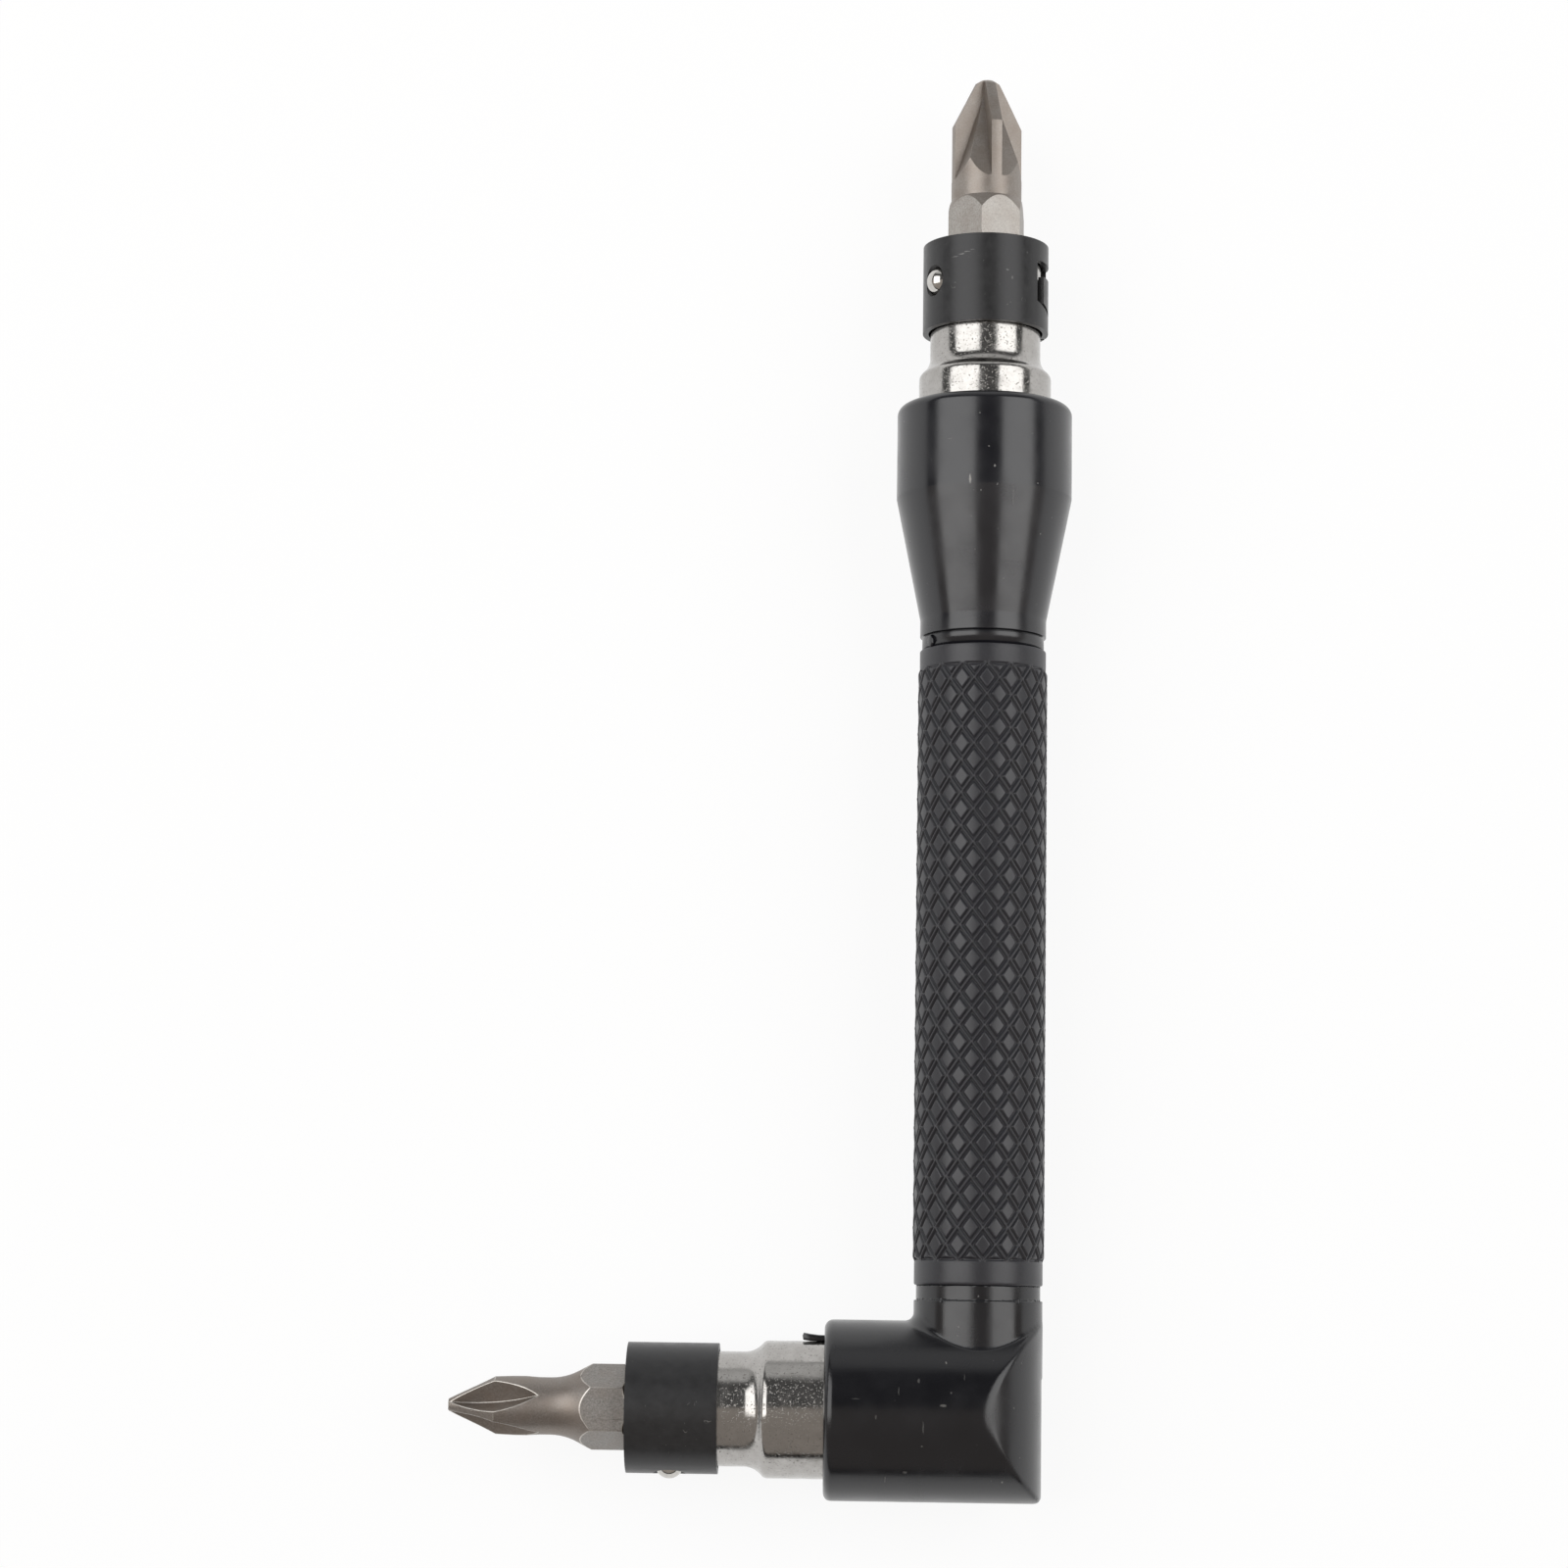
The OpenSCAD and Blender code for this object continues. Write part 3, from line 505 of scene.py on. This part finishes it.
def rounded(outline, steps=7):
    """An outline of (along, radius, round) corners as plain points, with an arc in place of each corner that
    has a round."""
    points = []
    for n, (along, radius, turn) in enumerate(outline):
        here = np.array([along, radius])
        if not turn:
            points.append(here)
            continue
        back = np.array(outline[n - 1][:2]) - here
        on = np.array(outline[(n + 1) % len(outline)][:2]) - here
        back, on = back / np.linalg.norm(back), on / np.linalg.norm(on)
        half = math.acos(np.clip(back @ on, -1, 1)) / 2
        centre = here + (back + on) / np.linalg.norm(back + on) * turn / math.sin(half)
        start = here + back * turn / math.tan(half) - centre
        end = here + on * turn / math.tan(half) - centre
        sweep = math.pi - 2 * half
        for m in range(steps + 1):
            a, b = math.sin(sweep * (1 - m / steps)), math.sin(sweep * m / steps)
            points.append(centre + (a * start + b * end) / math.sin(sweep))
    return points


def ringed(name, turns, radii, heights):
    """A closed piece round the handle's centre line. Each row of radii and heights is a ring, with a point
    at each of the turns, and the last ring joins the first."""
    x = HANDLE_X + radii * np.sin(turns)
    z = LINE_Z + radii * np.cos(turns)
    number = np.arange(radii.size).reshape(radii.shape)
    ahead = np.roll(number, -1, axis=0)
    faces = np.stack([number, ahead, np.roll(ahead, -1, axis=1), np.roll(number, -1, axis=1)], axis=-1)
    return solid(name, np.stack([x, heights, z], axis=-1).reshape(-1, 3), faces.reshape(-1, 4).tolist())


def turned(name, outline, steps=256):
    """A piece turned round the handle's centre line from a closed outline."""
    along, radii = np.transpose(rounded(outline))[:, :, None] + np.zeros(steps)
    return ringed(name, np.arange(steps) * 2 * math.pi / steps, radii, ARM_Y + along)


def head_shell():
    """The flared head, turned: spigot, groove and slit, short tail, taper, and wide part with a round rim."""
    return turned("head_shell", [
        (SPIGOT_START, HEAD_BORE_R, 0),
        (SPIGOT_START, SPIGOT_R, 0),
        (GRIP_END, SPIGOT_R, 0),
        (GRIP_END, GROOVE_R, 0),
        (TAIL_START - SLIT_W, GROOVE_R, SLIT_LOW_ROUND),
        (TAIL_START - SLIT_W, SLIT_R, 0),
        (TAIL_START, SLIT_R, 0),
        (TAIL_START, NECK_R, SLIT_TOP_ROUND),
        (TAPER_START, NECK_R, TAPER_FOOT_ROUND),
        (WIDE_START, WIDE_R, TAPER_TOP_ROUND),
        (HEAD_FACE, WIDE_R, HEAD_RIM_ROUND),
        (HEAD_FACE, SEAT_R, SEAT_ROUND),
        (HEAD_FACE - HEAD_SEAT_L, SEAT_R, 0),
        (HEAD_FACE - HEAD_SEAT_L, HEAD_BORE_R, 0)])


def elbow_distance(x, y, z):
    """How far a point is from the elbow's skin: a barrel with a round heel, a neck, a groove and a spigot."""
    from_handle = np.hypot(x, z)
    from_arm = np.hypot(y, z)
    barrel = blunt(from_arm - WIDE_R, MOUTH_X - x, ELBOW_ROUND)
    heel = blunt(np.hypot(np.maximum(x - HEEL_X, 0), z) - HEEL_R, -WIDE_R - y, ELBOW_ROUND)
    body = blunt(barrel, heel, HEEL_RIDGE_ROUND)
    neck = np.maximum(blunt(from_handle - NECK_R, y - NECK_END, NECK_RIM_ROUND), NECK_FOOT - y)
    fillet = np.clip(FILLET_LEAST - FILLET_LOSS * (x - FILLET_LEAST_X), FILLET_LEAST, FILLET_MOST)
    whole = merged(body, neck, fillet)
    groove = np.maximum(np.maximum(from_handle - GROOVE_R, y - GRIP_START), -y)
    spigot = np.maximum(np.maximum(from_handle - SPIGOT_R, y - ELBOW_SPIGOT_END), -y)
    whole = np.minimum(whole, np.minimum(groove, spigot))
    seat = np.maximum(from_arm - SEAT_R, x - (MOUTH_X + ELBOW_SEAT_L))
    return blunt(whole, -seat, SEAT_ROUND)


def elbow_shell():
    """The elbow moulding as one skin, whose grid is finer at the mouth, the neck's fillet and the groove."""
    along_arm = planes((-13.35, -11.6, 0.09), (-11.6, 5.95, 0.2))
    along_handle = planes((-8.1, 4.9, 0.2), (4.9, 6.5, 0.1), (6.5, 8.9, 0.2), (8.9, 11.0, 0.06),
                          (11.0, 13.7, 0.2))
    upward = planes((-8.1, 4.5, 0.2), (4.5, 6.1, 0.1), (6.1, 8.2, 0.2))
    return skin("elbow_shell", elbow_distance, along_arm, along_handle, upward)


def ragged_bit(name, outline, thick, at, lean=0.0):
    """A small flake of moulding flash: an outline with thickness whose upper face is drawn in and tilted, at
    a place from the crossing and leant over by an angle from straight up towards +X."""
    low = np.array([(x, y, -thick / 2) for x, y in outline])
    top = low * (0.96, 0.8, -1.0)
    top[:, 1] += 0.03
    top[:, 2] += 0.12 * thick * low[:, 0]
    count = len(outline)
    walls = [[n, (n + 1) % count, count + (n + 1) % count, count + n] for n in range(count)]
    lids = [list(range(count))[::-1], list(range(count, 2 * count))]
    cos, sin = math.cos(math.radians(lean)), math.sin(math.radians(lean))
    leant = np.vstack([low, top]) @ [[cos, 0, -sin], [0, 1, 0], [sin, 0, cos]]
    piece = solid(name, leant + at + CROSSING, walls + lids)
    corners = piece.modifiers.new("soft_corners", "BEVEL")
    corners.width = 0.04 * MM
    corners.segments = 2
    return piece


# The knurl has so many pads round the grip and along it, with so many points drawn to a pad
KNURL_COLUMNS = 16
KNURL_ROWS = 18
PAD_POINTS = 32
KNURL_TURN = 2.0

# The plain bands at its ends, which drop a little just beside the knurl
LOW_BAND_L = 2.0
TOP_BAND_L = 1.6
BAND_EDGE_R = 5.51

# Heights in the knurl: the crests, the grooves and pads below them, and how proud the crossings stand
CREST_R = 5.64
GROOVE_DEEP = 0.25
PAD_DROP = 0.03
CROSSING_RISE = 0.04

# Widths in the knurl as shares of a pad, the first four of them measured from the middle of a rib
RIB_HALF = 0.035
RIB_SIDE = 0.05
PAD_START = 0.11
PAD_SIDE = 0.11
CROSSING_SIZE = 0.05
END_RISE = 0.15
# How much steeper the knurl's groove along a plain band is than those beside the ribs
END_STEEPER = 1.65

# The rounding at the ends of the grip, as steps in from the band's radius and along from the grip's end
LOW_EDGE = [(0.12, 0.0), (0.05, 0.03), (0.0, 0.12)]
TOP_EDGE = [(0.06, 0.0), (0.02, 0.02), (0.0, 0.07)]


def ease(share):
    """A share from 0 to 1 that starts and stops gently."""
    share = np.clip(share, 0, 1)
    return share * share * (3 - 2 * share)


def off_whole(count):
    """How far a count is from the nearest whole number."""
    return np.abs(count - np.round(count))


def knurl_radius(across, along):
    """The knurl's radius at a place that is counted in pads round the grip and along it."""
    to_band = np.minimum(along, KNURL_ROWS - along)
    off_rib = np.minimum(off_whole(across + along), off_whole(across - along))
    # The knurl ends at a groove along each plain band, as deep as those beside the ribs
    off_rib = np.minimum(off_rib, END_STEEPER * to_band)
    groove = ease((off_rib - RIB_HALF) / RIB_SIDE)
    pad = ease((off_rib - PAD_START) / PAD_SIDE)
    # The crests rise above the plain bands within a few tenths of a millimetre
    lift = ease(to_band / END_RISE)
    crest = BAND_EDGE_R + (CREST_R - BAND_EDGE_R) * lift
    # Ribs cross at whole counts and at halves, and stand a little prouder there
    apart = [np.hypot(off_whole(across + half), off_whole(along + half)) for half in (0.0, 0.5)]
    crossing = sum(np.exp(-(far / CROSSING_SIZE) ** 2) for far in apart)
    return crest - GROOVE_DEEP * groove + (GROOVE_DEEP - PAD_DROP) * pad + CROSSING_RISE * crossing * lift


def plain_band(end, knurl, edge):
    """The outline of a plain band as (radius, place) steps, from the bore round its end to the knurl."""
    way = 1 if knurl > end else -1
    return [(GRIP_BORE_R, end), (SPIGOT_R, end)] \
        + [(NECK_R - drop, end + way * step) for drop, step in edge] \
        + [(NECK_R, end + way * 0.3), (NECK_R, knurl - way * 0.25), (BAND_EDGE_R, knurl - way * 0.08)]


def knurled_sleeve():
    """The grip: a tube whose middle is crossed by raised ribs, with grooves beside them and pads between."""
    low, high = [corner.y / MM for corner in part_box("grip_sleeve")]
    knurl_low, knurl_high = low + LOW_BAND_L, high - TOP_BAND_L
    across = np.arange(KNURL_COLUMNS * PAD_POINTS) / PAD_POINTS
    along = np.arange(KNURL_ROWS * PAD_POINTS + 1) / PAD_POINTS
    knurl = knurl_radius(*np.meshgrid(across, along))
    places = knurl_low + along * (knurl_high - knurl_low) / KNURL_ROWS
    below = plain_band(low, knurl_low, LOW_EDGE)
    above = plain_band(high, knurl_high, TOP_EDGE)[::-1]
    level = np.ones(across.size)
    radii = np.vstack([[r * level for r, _ in below], knurl, [r * level for r, _ in above]])
    heights = np.concatenate([[y for _, y in below], places, [y for _, y in above]])
    turns = math.radians(KNURL_TURN) + across * 2 * math.pi / KNURL_COLUMNS
    return ringed("knurled_sleeve", turns, radii, heights[:, None] * level)


# Studio

def white_floor():
    """A white sheet under the tool, sized in metres. It shows almost white by itself and keeps some of the
    tool's shadow."""
    half, low = 3, -0.0001
    glow_share = 0.9
    mesh = bpy.data.meshes.new("studio_floor")
    mesh.from_pydata([(-half, -half, low), (half, -half, low), (half, half, low), (-half, half, low)],
                     [], [(0, 1, 2, 3)])
    floor = bpy.data.objects.new("studio_floor", mesh)
    bpy.context.scene.collection.objects.link(floor)
    material = bpy.data.materials.new("paper_white")
    material.use_nodes = True
    tree = material.node_tree
    tree.nodes.remove(tree.nodes["Principled BSDF"])
    path = add(tree, "ShaderNodeLightPath", {}).outputs
    seen = reckon(tree, "MAXIMUM", path["Is Camera Ray"], path["Is Glossy Ray"])
    seen = reckon(tree, "MAXIMUM", seen, path["Is Transmission Ray"])
    share = reckon(tree, "MULTIPLY", seen, glow_share)
    paper = add(tree, "ShaderNodeBsdfDiffuse", {"Color": ink("fcfcfc")}).outputs[0]
    glow = add(tree, "ShaderNodeEmission", {"Color": ink("ffffff"), "Strength": 1.0}).outputs[0]
    both = add(tree, "ShaderNodeMixShader", {0: share, 1: paper, 2: glow}).outputs[0]
    tree.links.new(both, tree.nodes["Material Output"].inputs["Surface"])
    mesh.materials.append(material)


def studio_walls():
    """The room that metal mirrors: white low down, warm grey on the arm's side, dark grey on the head's, and
    pale at the end beyond the head."""
    world = bpy.data.worlds.new("studio_room")
    world.use_nodes = True
    bpy.context.scene.world = world
    tree = world.node_tree
    ray = add(tree, "ShaderNodeTexCoord", {}).outputs["Generated"]
    way = add(tree, "ShaderNodeSeparateXYZ", {0: ray}).outputs
    headward, up = way["Y"], way["Z"]
    over = mixed(tree, fade(tree, headward, 0.02, 0.14, eased=True), "a39c96", "585858")
    over = mixed(tree, fade(tree, headward, 0.78, 0.88, eased=True), over, "d6d6d6")
    # Low down the room is white, and grey behind the handle's end
    low_wall = mixed(tree, fade(tree, headward, 0.5, 0.8), "ffffff", "b4b4b4")
    room = mixed(tree, fade(tree, up, 0.14, 0.08, eased=True), over, low_wall)
    # In front, a little above the floor's edge, stands a dark strip that draws a thin line along the arm
    strip = reckon(tree, "MULTIPLY", fade(tree, headward, -0.5, -0.8), fade(tree, up, 0.045, 0.055))
    strip = reckon(tree, "MULTIPLY", strip, fade(tree, up, 0.24, 0.19))
    tree.links.new(mixed(tree, strip, room, "161616"), tree.nodes["Background"].inputs["Color"])


def softbox(name, lean, spread, far=0.6, length=0.6, bright=2.3, aim_y=0.15):
    """A softbox over the handle: lean is its angle from straight up towards +X, and spread half the angle it
    fills. far, length and aim_y are in metres, and bright is how many times paper white its cloth is."""
    width = 2 * far * math.tan(math.radians(spread))
    lamp = bpy.data.lights.new(name, "AREA")
    lamp.shape = "RECTANGLE"
    lamp.size = width
    lamp.size_y = length
    lamp.energy = bright * math.pi * width * length
    box = bpy.data.objects.new(name, lamp)
    bpy.context.scene.collection.objects.link(box)
    lean = math.radians(lean)
    aim = Vector((HANDLE_X * MM, aim_y, LINE_Z * MM))
    stand = Matrix.Translation(aim + far * Vector((math.sin(lean), 0, math.cos(lean))))
    box.matrix_world = stand @ Matrix.Rotation(lean, 4, "Y")
    box.visible_camera = False


# Where the camera stands, in millimetres from the crossing, its angles in degrees, and its lens
CAMERA_SPOT = (-10.87, 9.80, 334.2)
CAMERA_TIP = 7.53
CAMERA_SWING = -1.10
CAMERA_ROLL = 0.83
CAMERA_LENS = 88.56


def stand_camera():
    """The camera stands over the handle and looks down, tipped towards the head."""
    tip, swing, roll = (math.radians(angle) for angle in (CAMERA_TIP, CAMERA_SWING, CAMERA_ROLL))
    look = Vector((math.sin(swing) * math.cos(tip), math.sin(tip), -math.cos(tip) * math.cos(swing)))
    look.normalize()
    right = look.cross(Vector((0, 1, 0))).normalized()
    up = right.cross(look)
    rolled_right = right * math.cos(roll) + up * math.sin(roll)
    rolled_up = up * math.cos(roll) - right * math.sin(roll)
    lens = bpy.data.cameras.new("photo_view")
    lens.sensor_width = 36
    lens.lens = CAMERA_LENS
    lens.clip_start = 0.01
    camera = bpy.data.objects.new("photo_view", lens)
    bpy.context.scene.collection.objects.link(camera)
    spot = (Vector(CROSSING) + Vector(CAMERA_SPOT)) * MM
    facing = Matrix((rolled_right, rolled_up, -look)).transposed().to_4x4()
    camera.matrix_world = Matrix.Translation(spot) @ facing
    bpy.context.scene.camera = camera


# Put together

def fit(piece, finish, node=None):
    """Finishes a new piece, lets it ride on the handle, and hides the plain solid that it stands for."""
    dress(piece, finish)
    shade_evenly(piece)
    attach(piece, "handle")
    if node:
        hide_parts(node)


head_nylon = moulded_nylon("nylon_moulded_head", HEAD_NICKS, head_top, "101015", "19191e", 1.62)
elbow_nylon = moulded_nylon("nylon_moulded_elbow", ELBOW_NICKS, elbow_top, "0a0a0e", "101015", 1.58)
grained = grained_nylon()
chrome = chromed_steel()
spring = blackened_spring_steel(COLLAR_NICKS, collar_top)
sheared = bared_spring_steel()
steel_ball = ball_steel()
upper_turned = ("Y", ARM_Y + UPPER_TURNED_Y, 1)
lower_turned = ("X", HANDLE_X + LOWER_TURNED_X, -1)
upper_steel = blasted_tool_steel("tool_steel_blasted_pale", "bbb7b2", "8a8681", 0.45, upper_turned)
lower_steel = blasted_tool_steel("tool_steel_blasted_grey", "aaa7a3", "716e6b", 0.45, lower_turned)
# The bits' rounded edges get a paler, glossier steel: partly rubbed steel, partly a painted edge highlight
rubbed_and_highlit_steel = blasted_tool_steel("tool_steel_rubbed_and_highlit_edge", "d9d5cf", "a39e98", 0.36)
drawn_bar = drawn_steel_bar()

keep_small_turns = crisp_edges(17)
keep_large_turns = crisp_edges(32)
dress(nodes["handle_core"], drawn_bar)
for end in ("upper", "lower"):
    dress(nodes[end + "_socket"], chrome)
    soften(nodes[end + "_socket"], SOCKET_EDGE_W, keep_large_turns)
    dress(nodes[end + "_collar"], spring, sheared)
    soften(nodes[end + "_collar"], COLLAR_EDGE_W, keep_small_turns, rub=1)
    dress(nodes[end + "_ball"], steel_ball)
# Each bit's rounded edges take that paler steel, which is partly a painted edge highlight
dress(nodes["upper_bit"], upper_steel, rubbed_and_highlit_steel)
soften(nodes["upper_bit"], UPPER_BIT_EDGE_W, keep_small_turns, angle=18, rub=1)
dress(nodes["lower_bit"], lower_steel, rubbed_and_highlit_steel)
soften(nodes["lower_bit"], LOWER_BIT_EDGE_W, keep_small_turns, angle=28, rub=1, clamp=False)

fit(head_shell(), head_nylon, "head_ferrule")
fit(elbow_shell(), elbow_nylon, "elbow_housing")
fit(knurled_sleeve(), grained, "grip_sleeve")

# Flash that the mould left beside the socket's mouth, and a crumb of it stuck in the upper groove
MOUTH_FLASH = [(-1.86, 0.02), (-1.2, -0.08), (0.3, -0.12), (0.3, 0.46), (-0.5, 0.48), (-1.2, 0.56),
               (-1.8, 0.66), (-1.92, 0.42)]
GROOVE_CRUMB = [(-0.3, -0.5), (0.12, -0.62), (0.42, -0.28), (0.38, 0.25), (0.12, 0.6), (-0.22, 0.48),
                (-0.45, 0.05)]
fit(ragged_bit("mouth_flash", MOUTH_FLASH, 0.4, (MOUTH_X, 5.90, 0.6)), elbow_nylon)
fit(ragged_bit("groove_crumb", GROOVE_CRUMB, 0.3, (-4.62, 66.3, 2.9), lean=-58), head_nylon)

white_floor()
studio_walls()
softbox("left_softbox", -39.6, 26)
softbox("right_softbox", 43.7, 22)
stand_camera()

bpy.context.scene.view_settings.view_transform = "Standard"
